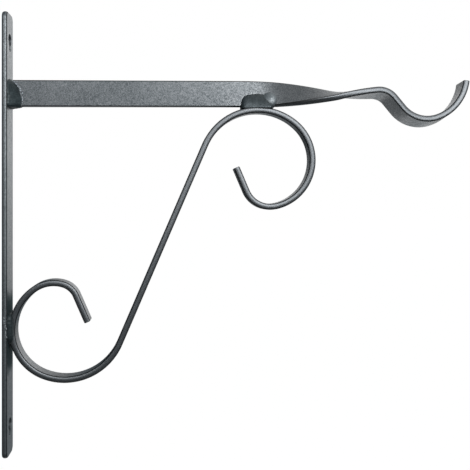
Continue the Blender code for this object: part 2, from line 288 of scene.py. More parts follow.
@dataclass(frozen=True)
class Centreline:
    """The line that a bent bar's middle follows in the XZ plane."""

    start: Vector
    heading: float
    runs: tuple[Run, ...]

    def at(self, distance: float) -> tuple[Vector, float]:
        """Where the bar is at a distance from its start.

        Args:
            distance: how far along the bar.

        Returns:
            The point, and the bar's heading there.
        """
        place = self.start.copy()
        heading = self.heading
        left = distance
        for run in self.runs:
            part = min(left, run.length)
            turned = run.turn * part / run.length
            chord = part if abs(turned) < TINY else part * math.sin(turned / 2) / (turned / 2)
            place += chord * Vector((math.cos(heading + turned / 2), 0.0, math.sin(heading + turned / 2)))
            heading += turned
            left -= part
            if left <= 0.0:
                break
        return place + max(0.0, left) * Vector((math.cos(heading), 0.0, math.sin(heading))), heading

    def before(self, count: int) -> float:
        """The length of the first runs."""
        return sum(run.length for run in self.runs[:count])

    def stations(self, last: float) -> list[float]:
        """Where the line's runs end, and the small steps in its bends.

        Args:
            last: the distance before which they are wanted.

        Returns:
            Distances from the start.
        """
        found = [0.0]
        start = 0.0
        for run in self.runs:
            steps = max(1, math.ceil(abs(run.turn) / BEND_STEP))
            found += [start + run.length * (i + 1) / steps for i in range(steps)]
            start += run.length
        return [distance for distance in found if distance < last - TINY]


@dataclass
class BentBar:
    """A flat bar bent along a centre line. Its narrow sides are crowned: rounded deeper across than along."""

    name: str
    path: Centreline
    across_y: float
    across_z: float
    edge_depth: float
    crown: float = 2.0
    edge_segments: int = 6
    end_round: float = 0.0007

    def start_bar(self) -> Object:
        """Adds the bar's section at its first end, turned square to the bar.

        Returns:
            The new object, in edit mode.
        """
        centre = self.path.start
        bar = add_section(self.name, centre, Facing.OUT)
        upright = self.across_z > self.across_y
        wider = (1.0, 1.0, self.crown) if upright else (1.0, self.crown, 1.0)
        stretch((1.0, self.across_y * wider[1], self.across_z * wider[2]), centre)
        round_corners(self.edge_depth * self.crown, self.edge_segments)
        stretch((1.0, 1.0 / wider[1], 1.0 / wider[2]), centre)
        self.mark_rolled(bar, centre, upright)
        turn("Y", self.path.heading, centre)
        return bar

    def mark_rolled(self, bar: Object, centre: Vector, upright: bool) -> None:
        """Marks the section's narrow sides, which every later section of the sweep takes over.

        Args:
            bar: the bar, in edit mode, as its first section.
            centre: the section's middle.
            upright: whether the bar's width runs along Z and not along Y.
        """
        mesh = bmesh.from_edit_mesh(bar.data)
        rolled = mesh.verts.layers.float.new(ROLLED)
        half = (self.across_z if upright else self.across_y) / 2
        for vert in mesh.verts:
            off = vert.co - centre
            inside = half - abs(off.z if upright else off.y)
            vert[rolled] = min(1.0, max(0.0, 1.0 - inside / self.edge_depth))
        bmesh.update_edit_mesh(bar.data)

    def lay_run(self, begun: float, run: Run) -> None:
        """Takes the bar's end along one run: straight by extruding, or round a bend by spinning.

        Args:
            begun: how far along the bar the run begins.
            run: the run.
        """
        place, heading = self.path.at(begun)
        if abs(run.turn) < TINY:
            pull(self.path.at(begun + run.length)[0] - place)
            return
        radius = run.length / run.turn
        centre = place + radius * Vector((-math.sin(heading), 0.0, math.cos(heading)))
        steps = max(1, math.ceil(abs(run.turn) / BEND_STEP))
        bpy.ops.mesh.spin(steps=steps, angle=run.turn, center=centre, axis=(0.0, 1.0, 0.0), dupli=False)

    def end_bar(self, bar: Object) -> None:
        """Rounds the rims of both sawn ends and finishes the mesh.

        Args:
            bar: the swept bar, in edit mode, with its far end selected.
        """
        round_rim(self.end_round, RIM_SEGMENTS)
        corners = 4 * self.edge_segments

        def is_first_end(face: bmesh.types.BMFace) -> bool:
            """Whether a face is the sawn end at the bar's start."""
            return len(face.verts) > corners and (face.calc_center_median() - self.path.start).length < TINY

        pick(bar, "FACE", is_first_end)
        round_rim(self.end_round, RIM_SEGMENTS)
        finish_mesh(bar)


# Finishes


def new_node(tree: Tree, kind: str, **values: object) -> Node:
    """Adds a node.

    Args:
        tree: the tree it goes into.
        kind: the node's type.
        values: its settings, by attribute name.

    Returns:
        The new node.
    """
    node = tree.nodes.new(kind)
    for key, value in values.items():
        setattr(node, key, value)
    return node


def plug(tree: Tree, socket: Socket, source: object) -> None:
    """Gives an input a link or a value.

    Args:
        tree: the tree the input's node is in.
        socket: the input.
        source: the socket or the value that it takes.
    """
    if isinstance(source, Socket):
        tree.links.new(source, socket)
    else:
        socket.default_value = source


def feed(tree: Tree, node: Node, **sources: object) -> None:
    """Gives a node's inputs a link or a value each.

    Args:
        tree: the tree the node is in.
        node: the node.
        sources: a socket or a value for each input, by its name with underscores for spaces.
    """
    for key, source in sources.items():
        plug(tree, node.inputs[key.replace("_", " ")], source)


def spread(tree: Tree, value: object, low: float, high: float, to_low: object, to_high: object) -> Socket:
    """A soft step from one value to another.

    Args:
        tree: the tree it goes into.
        value: the socket that steers it.
        low: where the step begins.
        high: where it ends.
        to_low: what it gives before the step.
        to_high: what it gives after it.

    Returns:
        The socket with the result.
    """
    node = new_node(tree, "ShaderNodeMapRange", interpolation_type="SMOOTHSTEP")
    feed(tree, node, Value=value, From_Min=low, From_Max=high, To_Min=to_low, To_Max=to_high)
    return node.outputs["Result"]


def reckon(tree: Tree, operation: str, first: object, second: object = 0.0) -> Socket:
    """The result of a sum on two sockets or numbers.

    Args:
        tree: the tree it goes into.
        operation: the Math node's operation.
        first: the first term.
        second: the second term.

    Returns:
        The socket with the result.
    """
    node = new_node(tree, "ShaderNodeMath", operation=operation)
    for socket, source in zip(node.inputs, (first, second)):
        plug(tree, socket, source)
    return node.outputs[0]


def times(tree: Tree, first: object, second: object) -> Socket:
    """The product of two sockets or numbers."""
    return reckon(tree, "MULTIPLY", first, second)


def mixed(tree: Tree, kind: str, share: object, first: object, second: object, blend: str = "MIX") -> Socket:
    """A mix of two numbers or two colours.

    Args:
        tree: the tree it goes into.
        kind: "FLOAT" or "RGBA".
        share: how much of the second one comes through.
        first: the first number or colour.
        second: the second one.
        blend: the way colours are mixed.

    Returns:
        The socket with the result.
    """
    first_slot, second_slot, result = MIX_SLOTS[kind]
    node = new_node(tree, "ShaderNodeMix", data_type=kind, blend_type=blend)
    for slot, source in ((0, share), (first_slot, first), (second_slot, second)):
        plug(tree, node.inputs[slot], source)
    return node.outputs[result]


GRAIN_SOCKETS = (
    ("INPUT", "NodeSocketColor", ("Dark", "Light")),
    ("INPUT", "NodeSocketFloat", ("Grain Scale", "Mottle Scale", "Fleck Share")),
    ("INPUT", "NodeSocketFloat", ("Roughness", "Roughness Spread", "Rolled", "Rolled Smoothness")),
    ("OUTPUT", "NodeSocketColor", ("Color",)),
    ("OUTPUT", "NodeSocketFloat", ("Roughness", "Height")),
)


@dataclass(frozen=True)
class HammeredGrain:
    """The grain of a hammered enamel: worm-like metallic flecks, cloudy mottling and shallow dimples.

    A bar's rolled sides are smoother. Their lighter tone is a painted highlight, and the dark line
    along their borders is painted shade. All finishes share these proportions.
    Pairs are the two ends of a soft step.
    """

    name: str = "hammered_grain"
    worm_end: float = 0.085
    cloud_ends: tuple[float, float] = (0.34, 0.66)
    dimple_scale: float = 0.55
    worm_height: float = 0.4
    rolled_end: float = 0.25
    # The rolled sides' lighter tone, a painted highlight.
    painted_highlight_tone: float = 0.78
    # The dark line along the rolled sides' borders: painted shade.
    painted_shade_ends: tuple[float, float] = (0.0, 0.08)
    painted_shade_fade: tuple[float, float] = (0.42, 0.84)
    painted_shade_tone: float = 0.04

    def open_group(self) -> Tree:
        """Starts the node group with its sockets.

        Returns:
            The new group.
        """
        group = bpy.data.node_groups.new(self.name, "ShaderNodeTree")
        for in_out, kind, labels in GRAIN_SOCKETS:
            for label in labels:
                group.interface.new_socket(name=label, in_out=in_out, socket_type=kind)
        return group

    def node_group(self) -> Tree:
        """The node group, built once.

        Returns:
            The group.
        """
        if self.name in bpy.data.node_groups:
            return bpy.data.node_groups[self.name]
        group = self.open_group()
        given = new_node(group, "NodeGroupInput").outputs
        place = new_node(group, "ShaderNodeTexCoord").outputs["Object"]

        grain = new_node(group, "ShaderNodeTexNoise")
        feed(group, grain, Vector=place, Scale=given["Grain Scale"], Detail=2.0, Roughness=0.6, Distortion=1.4)
        away = reckon(group, "ABSOLUTE", reckon(group, "SUBTRACT", grain.outputs["Fac"], 0.5))
        worm = spread(group, away, 0.0, self.worm_end, 1.0, 0.0)
        mottle = new_node(group, "ShaderNodeTexNoise")
        feed(group, mottle, Vector=place, Scale=given["Mottle Scale"], Detail=3.0, Roughness=0.55)
        cloud = spread(group, mottle.outputs["Fac"], *self.cloud_ends, 0.0, 1.0)
        dimple = new_node(group, "ShaderNodeTexVoronoi", feature="SMOOTH_F1")
        dimple_scale = times(group, given["Grain Scale"], self.dimple_scale)
        feed(group, dimple, Vector=place, Scale=dimple_scale, Smoothness=0.6)

        rounding = spread(group, given["Rolled"], 0.0, self.rolled_end, 0.0, 1.0)
        smooth = times(group, rounding, given["Rolled Smoothness"])
        rough = reckon(group, "SUBTRACT", 1.0, smooth)
        flecks = times(group, worm, given["Fleck Share"])
        rest = times(group, cloud, reckon(group, "SUBTRACT", 1.0, given["Fleck Share"]))
        tone = times(group, reckon(group, "ADD", flecks, rest), rough)
        # Lighter tone on the rolled sides: a painted highlight.
        tone = reckon(group, "ADD", tone, times(group, smooth, self.painted_highlight_tone))
        colour = mixed(group, "RGBA", tone, given["Dark"], given["Light"])
        # Dark line where a rolled side meets a broad face: painted shade.
        line = spread(group, given["Rolled"], *self.painted_shade_ends, 0.0, 1.0)
        line = times(group, line, spread(group, given["Rolled"], *self.painted_shade_fade, 1.0, 0.0))
        shade = spread(group, line, 0.0, 1.0, 1.0, self.painted_shade_tone)

        worn = times(group, reckon(group, "SUBTRACT", 0.5, worm), given["Roughness Spread"])
        worn = times(group, worn, rough)
        height = reckon(group, "ADD", times(group, worm, self.worm_height), dimple.outputs["Distance"])
        result = new_node(group, "NodeGroupOutput")
        feed(group, result, Color=mixed(group, "RGBA", 1.0, colour, shade, "MULTIPLY"))
        feed(group, result, Roughness=reckon(group, "ADD", given["Roughness"], worn))
        feed(group, result, Height=times(group, height, rough))
        return group


@dataclass(frozen=True)
class HammeredEnamel:
    """A hammered metallic enamel, as colours, gloss and the depth of its grain."""

    name: str
    dark: tuple[float, float, float]
    light: tuple[float, float, float]
    grain_scale: float = 600.0
    mottle_scale: float = 16.0
    fleck_share: float = 0.78
    metallic: float = 0.85
    roughness: float = 0.36
    roughness_spread: float = 0.14
    grain_depth: float = 0.00010
    grain_strength: float = 0.26
    coat_weight: float = 0.20
    coat_roughness: float = 0.28
    rolled_smoothness: float = 0.85

    def material(self) -> bpy.types.Material:
        """The finish as a material, built once.

        Returns:
            The material.
        """
        if self.name in bpy.data.materials:
            return bpy.data.materials[self.name]
        material = bpy.data.materials.new(self.name)
        material.use_nodes = True
        tree = material.node_tree
        shader = tree.nodes["Principled BSDF"]
        grain = new_node(tree, "ShaderNodeGroup", node_tree=HammeredGrain().node_group())
        feed(tree, grain, Dark=(*self.dark, 1.0), Light=(*self.light, 1.0), Grain_Scale=self.grain_scale)
        feed(tree, grain, Mottle_Scale=self.mottle_scale, Fleck_Share=self.fleck_share)
        feed(tree, grain, Roughness=self.roughness, Roughness_Spread=self.roughness_spread)
        rolled = new_node(tree, "ShaderNodeAttribute", attribute_name=ROLLED).outputs["Fac"]
        feed(tree, grain, Rolled=rolled, Rolled_Smoothness=self.rolled_smoothness)
        bump = new_node(tree, "ShaderNodeBump")
        feed(tree, bump, Strength=self.grain_strength, Distance=self.grain_depth)
        feed(tree, bump, Height=grain.outputs["Height"])
        feed(tree, shader, Base_Color=grain.outputs["Color"], Roughness=grain.outputs["Roughness"])
        feed(tree, shader, Normal=bump.outputs["Normal"], Metallic=self.metallic)
        feed(tree, shader, Coat_Weight=self.coat_weight, Coat_Roughness=self.coat_roughness)
        self.paint_ring_shadow(tree, shader, grain)
        return material

    def paint_ring_shadow(self, tree: Tree, shader: Node, grain: Node) -> None:
        """Changes nothing, because no shadow is painted on this finish."""


@dataclass(frozen=True)
class RingShadowEnamel(HammeredEnamel):
    """The same enamel with the ring's shadow painted on the plate's face, which is dark and matt there."""

    # Where the ring's painted shadow lies: its middle and reach in height, its soft edges and its width.
    middle: float = -0.0746
    reach: float = 0.0360
    fade: float = 0.0130
    half_width: float = 0.0092
    side_fade: float = 0.0008
    patch_scale: float = 110.0
    # The painted shadow's colour, metallic and roughness.
    painted_shadow_colour: tuple[float, float, float] = (0.012, 0.034, 0.040)
    painted_shadow_metallic: float = 0.10
    painted_shadow_roughness: float = 0.95

    def unshadowed(self, tree: Tree) -> Socket:
        """Where the ring's shadow is painted: 0 on the face behind the ring, 1 elsewhere.

        Args:
            tree: the material's tree.

        Returns:
            The socket with the share.
        """
        place = new_node(tree, "ShaderNodeTexCoord").outputs["Object"]
        parts = new_node(tree, "ShaderNodeSeparateXYZ")
        feed(tree, parts, Vector=place)
        patchy = new_node(tree, "ShaderNodeTexNoise")
        feed(tree, patchy, Vector=place, Scale=self.patch_scale, Detail=2.0, Roughness=0.5)
        shift = times(tree, reckon(tree, "SUBTRACT", patchy.outputs["Fac"], 0.5), self.fade)
        off = reckon(tree, "ABSOLUTE", reckon(tree, "SUBTRACT", parts.outputs["Z"], self.middle))
        off = reckon(tree, "ADD", off, shift)
        along = spread(tree, off, self.reach - self.fade, self.reach, 0.0, 1.0)
        aside = reckon(tree, "ABSOLUTE", parts.outputs["Y"])
        return spread(tree, aside, self.half_width - self.side_fade, self.half_width, along, 1.0)

    def paint_ring_shadow(self, tree: Tree, shader: Node, grain: Node) -> None:
        """Paints the ring's shadow: a dark, matt colour where the mask is 0.

        Args:
            tree: the material's tree.
            shader: the material's shader.
            grain: the node with the grain's colour and roughness.
        """
        unshadowed = self.unshadowed(tree)
        colour = mixed(tree, "RGBA", unshadowed, (*self.painted_shadow_colour, 1.0), grain.outputs["Color"])
        metal = spread(tree, unshadowed, 0.0, 1.0, self.painted_shadow_metallic, self.metallic)
        rough = spread(tree, unshadowed, 0.0, 1.0, self.painted_shadow_roughness, grain.outputs["Roughness"])
        coat = spread(tree, unshadowed, 0.0, 1.0, 0.0, self.coat_weight)
        feed(tree, shader, Base_Color=colour, Metallic=metal, Roughness=rough, Coat_Weight=coat)


BAR_ENAMEL = HammeredEnamel(
    name="graphite_enamel_on_bars",
    dark=(0.066, 0.077, 0.084),
    light=(0.190, 0.201, 0.212),
)
# A lighter copy of the bar enamel, which is painted light: the plate has the same paint as the bars.
PLATE_ENAMEL = RingShadowEnamel(
    name="graphite_enamel_on_plate",
    dark=(0.100, 0.117, 0.126),
    light=(0.250, 0.270, 0.283),
    roughness=0.41,
    grain_strength=0.20,
    rolled_smoothness=0.15,
)
WELD_ENAMEL = HammeredEnamel(
    name="graphite_enamel_on_welds",
    dark=(0.046, 0.058, 0.064),
    light=(0.090, 0.108, 0.117),
    grain_scale=520.0,
    mottle_scale=60.0,
    fleck_share=0.55,
    metallic=0.80,
    roughness=0.38,
    roughness_spread=0.20,
    grain_depth=0.00012,
    grain_strength=0.25,
    coat_weight=0.30,
    coat_roughness=0.22,
)
# A lighter copy of the weld enamel: the droplets' painted glints.
SPATTER_ENAMEL = replace(
    WELD_ENAMEL,
    name="graphite_enamel_on_spatter",
    dark=(0.25, 0.28, 0.31),
    light=(0.52, 0.57, 0.61),
)
# A lighter copy of the weld enamel: a painted highlight on the nugget and on the foot's spatter.
NUGGET_ENAMEL = replace(
    WELD_ENAMEL,
    name="graphite_enamel_on_nuggets",
    dark=(0.19, 0.215, 0.23),
    light=(0.34, 0.37, 0.385),
    fleck_share=0.30,
    roughness=0.50,
    grain_strength=0.15,
)
# A darker copy of the weld enamel for the beads in the corners at the plate: painted shade.
PLATE_WELD_ENAMEL = replace(
    WELD_ENAMEL,
    name="graphite_enamel_on_plate_welds",
    dark=(0.028, 0.040, 0.044),
    light=(0.058, 0.078, 0.085),
    roughness=0.52,
)


def dress(piece: Object, finish: HammeredEnamel, slot: str, *nodes: str) -> None:
    """Paints a piece, and tells the frame what it is.

    Args:
        piece: the piece.
        finish: its finish.
        slot: a material slot's name; not used.
        nodes: the solids that it stands for.
    """
    piece.data.materials.clear()
    piece.data.materials.append(finish.material())
    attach(piece, BODY)
    if nodes:
        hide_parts(*nodes)
    LOG.info("%s is dressed and stands for %s", piece.name, ", ".join(nodes) or "no solid")


# Pieces


@dataclass
class BackPlate:
    """The flat bar that lies on the wall, with rounded corners and a keyhole near each end."""

    length: float = 0.340
    width: float = 0.020
    thickness: float = PLATE_THICKNESS
    corner_radius: float = 0.005
    corner_segments: int = 10
    edge_depth: float = 0.0012
    crown: float = 1.5
    edge_segments: int = 6
    hole_radius: float = 0.0045
    hole_vertices: int = 48
    slot_width: float = 0.0045
    slot_segments: int = 8
    slot_drop: float = 0.0065
    rim_round: float = 0.0004
    top_inset: float = 0.0205
    bottom_inset: float = 0.0242

    def blank(self) -> Object:
        """The bar without its keyholes.

        Returns:
            The new object.
        """
        put_down()
        middle = Vector((self.thickness / 2, 0.0, 0.0))
        bpy.ops.mesh.primitive_cube_add(size=1.0, location=middle)
        plate = named("plate_bar")
        open_mesh(plate)
        stretch((self.thickness / self.crown, self.width, self.length), middle)
        pick(plate, "EDGE", lambda edge: abs(edge.verts[0].co.x - edge.verts[1].co.x) > self.edge_depth)
        bpy.ops.mesh.bevel(offset=self.corner_radius, segments=self.corner_segments, affect="EDGES")
        pick(plate, "FACE", lambda face: abs(face.normal.x) > ALONG)
        round_rim(self.edge_depth, self.edge_segments)
        bpy.ops.mesh.select_all(action="SELECT")
        stretch((self.crown, 1.0, 1.0), middle)
        put_down()
        return plate

    def drill(self, plate: Object, height: float) -> None:
        """Cuts one keyhole: the round hole, then the slot that runs down from it.

        Args:
            plate: the bar.
            height: the height of the round hole's middle.
        """
        middle = Vector((self.thickness / 2, 0.0, height))
        put_down()
        quarter = (0.0, math.radians(90), 0.0)
        depth = 3 * self.thickness
        bpy.ops.mesh.primitive_cylinder_add(
            vertices=self.hole_vertices, radius=self.hole_radius, depth=depth, location=middle, rotation=quarter
        )
        cut_away(plate, named("hole_cutter"))
        slot_middle = middle - Vector((depth / 2, 0.0, self.slot_drop / 2))
        slot = add_section("slot_cutter", slot_middle, Facing.OUT)
        stretch((1.0, self.slot_width, self.slot_drop + self.slot_width), slot_middle)
        round_corners(NEARLY_HALF * self.slot_width, self.slot_segments)
        pull(Vector((depth, 0.0, 0.0)))
        bpy.ops.mesh.select_all(action="SELECT")
        bpy.ops.mesh.normals_make_consistent(inside=False)
        put_down()
        cut_away(plate, slot)

    def soften_rims(self, plate: Object) -> None:
        """Rounds the keyholes' rims on the plate's front.

        Args:
            plate: the bar with its keyholes.
        """
        reach = self.hole_radius + self.slot_drop + self.slot_width

        def is_rim(edge: bmesh.types.BMEdge) -> bool:
            """Whether an edge lies between the plate's front and a keyhole's wall.

            Args:
                edge: the edge.

            Returns:
                Whether it does.
            """
            if len(edge.link_faces) != 2 or any(abs(v.co.x - self.thickness) > TINY for v in edge.verts):
                return False
            near_end = self.length / 2 - abs(edge.verts[0].co.z) < self.top_inset + reach
            walls = [face for face in edge.link_faces if abs(face.normal.x) < ACROSS]
            inside = all(abs(v.co.y) < self.hole_radius + TINY for v in edge.verts)
            return near_end and inside and len(walls) == 1

        open_mesh(plate)
        pick(plate, "EDGE", is_rim)
        bpy.ops.mesh.bevel(offset=self.rim_round, segments=RIM_SEGMENTS, affect="EDGES")
        put_down()

    def mark_rim(self, plate: Object) -> None:
        """Marks how far each point of the outer rim has turned from a broad face to the narrow side.

        Args:
            plate: the bar with its keyholes.
        """
        rolled = plate.data.attributes.new(ROLLED, "FLOAT", "POINT")
        depth = self.edge_depth * self.crown
        for vert, mark in zip(plate.data.vertices, rolled.data):
            at_side = abs(vert.co.y) > self.width / 2 - self.edge_depth - TINY
            at_end = abs(vert.co.z) > self.length / 2 - self.corner_radius - TINY
            off_face = min(vert.co.x, self.thickness - vert.co.x, depth)
            turned = math.sqrt(max(0.0, 1.0 - (1.0 - off_face / depth) ** 2))
            mark.value = turned if at_side or at_end else 0.0

    def build(self) -> None:
        """Builds and dresses the plate."""
        plate = self.blank()
        self.drill(plate, self.length / 2 - self.top_inset)
        self.drill(plate, self.bottom_inset - self.length / 2)
        self.soften_rims(plate)
        self.mark_rim(plate)
        finish_mesh(plate)
        dress(plate, PLATE_ENAMEL, ENAMEL_SLOT, "back_plate")


@dataclass
class Twist:
    """A twist of a bar about its own centre line, which starts and ends softly."""

    start: float
    length: float
    angle: float
    ease: float = 0.30

    def at(self, distance: float) -> float:
        """How far the bar has turned at a distance from its start.

        Args:
            distance: how far along the bar.

        Returns:
            The turn, in radians.
        """
        share = min(1.0, max(0.0, (distance - self.start) / self.length))
        if share < self.ease:
            part = share * share / (2 * self.ease * (1 - self.ease))
        elif share > 1 - self.ease:
            part = 1 - (1 - share) ** 2 / (2 * self.ease * (1 - self.ease))
        else:
            part = (share - self.ease / 2) / (1 - self.ease)
        return self.angle * part


ARM_PATH = Centreline(
    start=Vector((0.0043, 0.0, 0.1083)),
    heading=math.radians(0.55),
    runs=(
        Run(0.1835),
        bend(0.200, -0.8),
        Run(0.0635),
        bend(0.063, 4.7),
        Run(0.0315),
        bend(0.0155, -54.1),
        Run(0.0103),
        bend(0.0270, 66.7),
        bend(0.0367, 66.5),
    ),
)
RUNS_BEFORE_CREST = 5
TWIST_LENGTH = 0.1235
TWIST_PAST_CREST_START = 0.0075
ARM_TWIST = Twist(
    start=ARM_PATH.before(RUNS_BEFORE_CREST) + TWIST_PAST_CREST_START - TWIST_LENGTH,
    length=TWIST_LENGTH,
    angle=math.radians(98),
)


@dataclass
class HookArm:
    """The arm: on edge at the plate, twisted until it lies flat, then bent over a crest into an open hook."""

    width: float = 0.0207
    thickness: float = ARM_THICKNESS
    edge_depth: float = 0.0010
    twist_steps: int = 60
    least_step: float = 0.4

    def distances(self) -> list[float]:
        """Where the bar gets a section, as far as its twist runs.

        Returns:
            Distances along the bar, none closer than a share of a twist step.
        """
        last = ARM_TWIST.start + ARM_TWIST.length
        count = self.twist_steps
        steps = [ARM_TWIST.start + ARM_TWIST.length * i / count for i in range(count + 1)]
        found = sorted(ARM_PATH.stations(last) + steps)
        kept = [found[0]]
        for distance in found[1:]:
            if distance - kept[-1] > self.least_step * ARM_TWIST.length / count:
                kept.append(distance)
        kept[-1] = last
        return kept

    def build(self) -> None:
        """Builds and dresses the arm."""
        form = BentBar("arm_bar", ARM_PATH, self.thickness, self.width, self.edge_depth)
        bar = form.start_bar()
        done = 0.0
        for distance in self.distances()[1:]:
            place, heading = ARM_PATH.at(done)
            onward, next_heading = ARM_PATH.at(distance)
            pull(onward - place)
            turn("Y", -heading, onward)
            turn("X", ARM_TWIST.at(distance) - ARM_TWIST.at(done), onward)
            turn("Y", next_heading, onward)
            done = distance
        begun = 0.0
        for run in ARM_PATH.runs:
            ended = begun + run.length
            if ended > done + TINY:
                left = ended - max(begun, done)
                form.lay_run(ended - left, Run(left, run.turn * left / run.length))
            begun = ended
        form.end_bar(bar)
        dress(bar, BAR_ENAMEL, ENAMEL_SLOT, "hook_arm")


@dataclass
class ScrollBrace:
    """The brace under the arm: two rings of bent flat bar, joined by a straight diagonal."""

    width: float = 0.0125
    thickness: float = 0.0048
    edge_depth: float = 0.0011
    lean: float = 23.3
    start: Vector = field(default_factory=Vector)

    def path(self) -> Centreline:
        """The brace's centre line, from the lower ring's tail to the upper ring's.

        Returns:
            The line.
        """
        foot = (bend(0.0156, 48.9), bend(0.0245, 49.3), bend(0.0379, 126.6), bend(0.0444, 88.6))
        head = (bend(0.0459, -108.1), bend(0.0372, -122.5), bend(0.0272, -13.4), bend(0.0200, -69.5))
        turned = sum(run.turn for run in foot)
        heading = math.radians(90.0 - self.lean) - turned
        return Centreline(self.start, heading, (Run(0.0224), *foot, Run(0.1678), *head, Run(0.0205)))

    def build(self) -> None:
        """Builds and dresses the brace, with its tail where the solid's box says."""
        low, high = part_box("scroll_brace")
        loose = self.path()
        whole = loose.before(len(loose.runs))
        spots = [loose.at(distance)[0] for distance in loose.stations(2 * whole)]
        left = min(spot.x for spot in spots) - self.thickness / 2
        top = max(spot.z for spot in spots) + self.thickness / 2
        self.start = Vector((low.x - left, 0.0, high.z - top))
        form = BentBar("brace_bar", self.path(), self.width, self.thickness, self.edge_depth)
        bar = form.start_bar()
        begun = 0.0
        for run in form.path.runs:
            form.lay_run(begun, run)
            begun += run.length
        form.end_bar(bar)
        dress(bar, BAR_ENAMEL, ENAMEL_SLOT, "scroll_brace")


@dataclass(frozen=True)
class BeadRow:
    """A place along a weld bead, as a share of its length, and the shares of its two reaches there."""

    place: float
    first: float
    second: float


def shaped(*rows: tuple[float, float, float]) -> tuple[BeadRow, ...]:
    """A bead's rows, from a place and two shares each."""
    return tuple(BeadRow(*row) for row in rows)


def bead_rows(rows: tuple[BeadRow, ...], length: float, ripple: float, phase: float) -> list[BeadRow]:
    """Fills in a bead's rows at small steps, and lays the ripples of its passes over them.

    Args:
        rows: the given rows.
        length: the bead's length.
        ripple: how much each pass swells it, as a share.
        phase: where the ripples begin.

    Returns:
        Rows about 0.6 mm apart.
    """
    steps = math.ceil(length / BEAD_STEP)
    filled = []
    for step in range(steps + 1):
        place = step / steps
        after = next(i for i, row in enumerate(rows) if row.place >= place - TINY)
        near, far = rows[max(0, after - 1)], rows[max(1, after)]
        part = (place - near.place) / (far.place - near.place)
        swell = 1.0 + ripple * math.sin(2 * math.pi * place * length / RIPPLE_PITCH + phase)
        first = near.first + (far.first - near.first) * part
        second = near.second + (far.second - near.second) * part
        filled.append(BeadRow(place, first * swell, second * (2 - swell)))
    return filled


def roughen(obj: Object, strength: float, grain: float) -> None:
    """Gives a bead the lumps of molten metal, under the paint.

    Args:
        obj: the bead.
        strength: how high and deep the lumps are together.
        grain: how wide they are.
    """
    take_up(obj)
    finer = obj.modifiers.new("finer", "SUBSURF")
    finer.subdivision_type = "SIMPLE"
    finer.levels = finer.render_levels = 1
    bpy.ops.object.modifier_apply(modifier=finer.name)
    clouds = bpy.data.textures.get("lumps") or bpy.data.textures.new("lumps", "CLOUDS")
    clouds.noise_scale = grain
    clouds.noise_depth = 1
    lumps = obj.modifiers.new("lumps", "DISPLACE")
    lumps.texture = clouds
    lumps.texture_coords = "LOCAL"
    lumps.strength = strength
    lumps.mid_level = 0.5
    bpy.ops.object.modifier_apply(modifier=lumps.name)
    put_down()


def into_arm(side: Side, twist: float) -> Vector:
    """The way from one side of the arm to its middle, where it has twisted so far."""
    return Vector((0.0, -side.value * math.cos(twist), side.value * math.sin(twist)))


@dataclass
class PlateBead:
    """A weld bead that runs down the plate's face, beside the bracket's middle plane."""

    name: str
    top: float
    length: float
    off_plate: float
    over_plate: float
    rows: tuple[BeadRow, ...]
    ripple: float = 0.006
    fullness: float = 0.44
    corner_segments: int = 6
    lap: float = SUNK
    profile: float = 0.5
    lumps: float = 0.0003
    lump_width: float = 0.0030

    def build(self, side: Side) -> None:
        """Builds and dresses the bead on one side.

        Args:
            side: the side of the middle plane.
        """
        end = side.name.lower()
        corner = Vector((PLATE_THICKNESS, 0.0, self.top))
        rows = bead_rows(self.rows, self.length, self.ripple, side.value)
        bead = add_section(f"{self.name}_{end}_bead", corner, Facing.UP)
        round_corners(self.fullness, self.corner_segments, self.profile)
        stretch((2 * self.off_plate * rows[0].first, 2 * self.over_plate * rows[0].second, 1.0), corner)
        for near, far in zip(rows, rows[1:]):
            step = Vector((0.0, 0.0, -self.length * (far.place - near.place)))
            pull(step)
            corner = corner + step
            stretch((far.first / near.first, far.second / near.second, 1.0), corner)
        put_down()
        trim(bead, Vector((PLATE_THICKNESS - self.lap, 0.0, 0.0)), Vector((-1.0, 0.0, 0.0)))
        trim(bead, Vector((0.0, side.value * SUNK / 2, 0.0)), Vector((0.0, -side.value, 0.0)))
        roughen(bead, self.lumps, self.lump_width)
        finish_mesh(bead, BEAD_SMOOTH_ANGLE)
        dress(bead, PLATE_WELD_ENAMEL, WELD_SLOT, f"{self.name}_{end}")


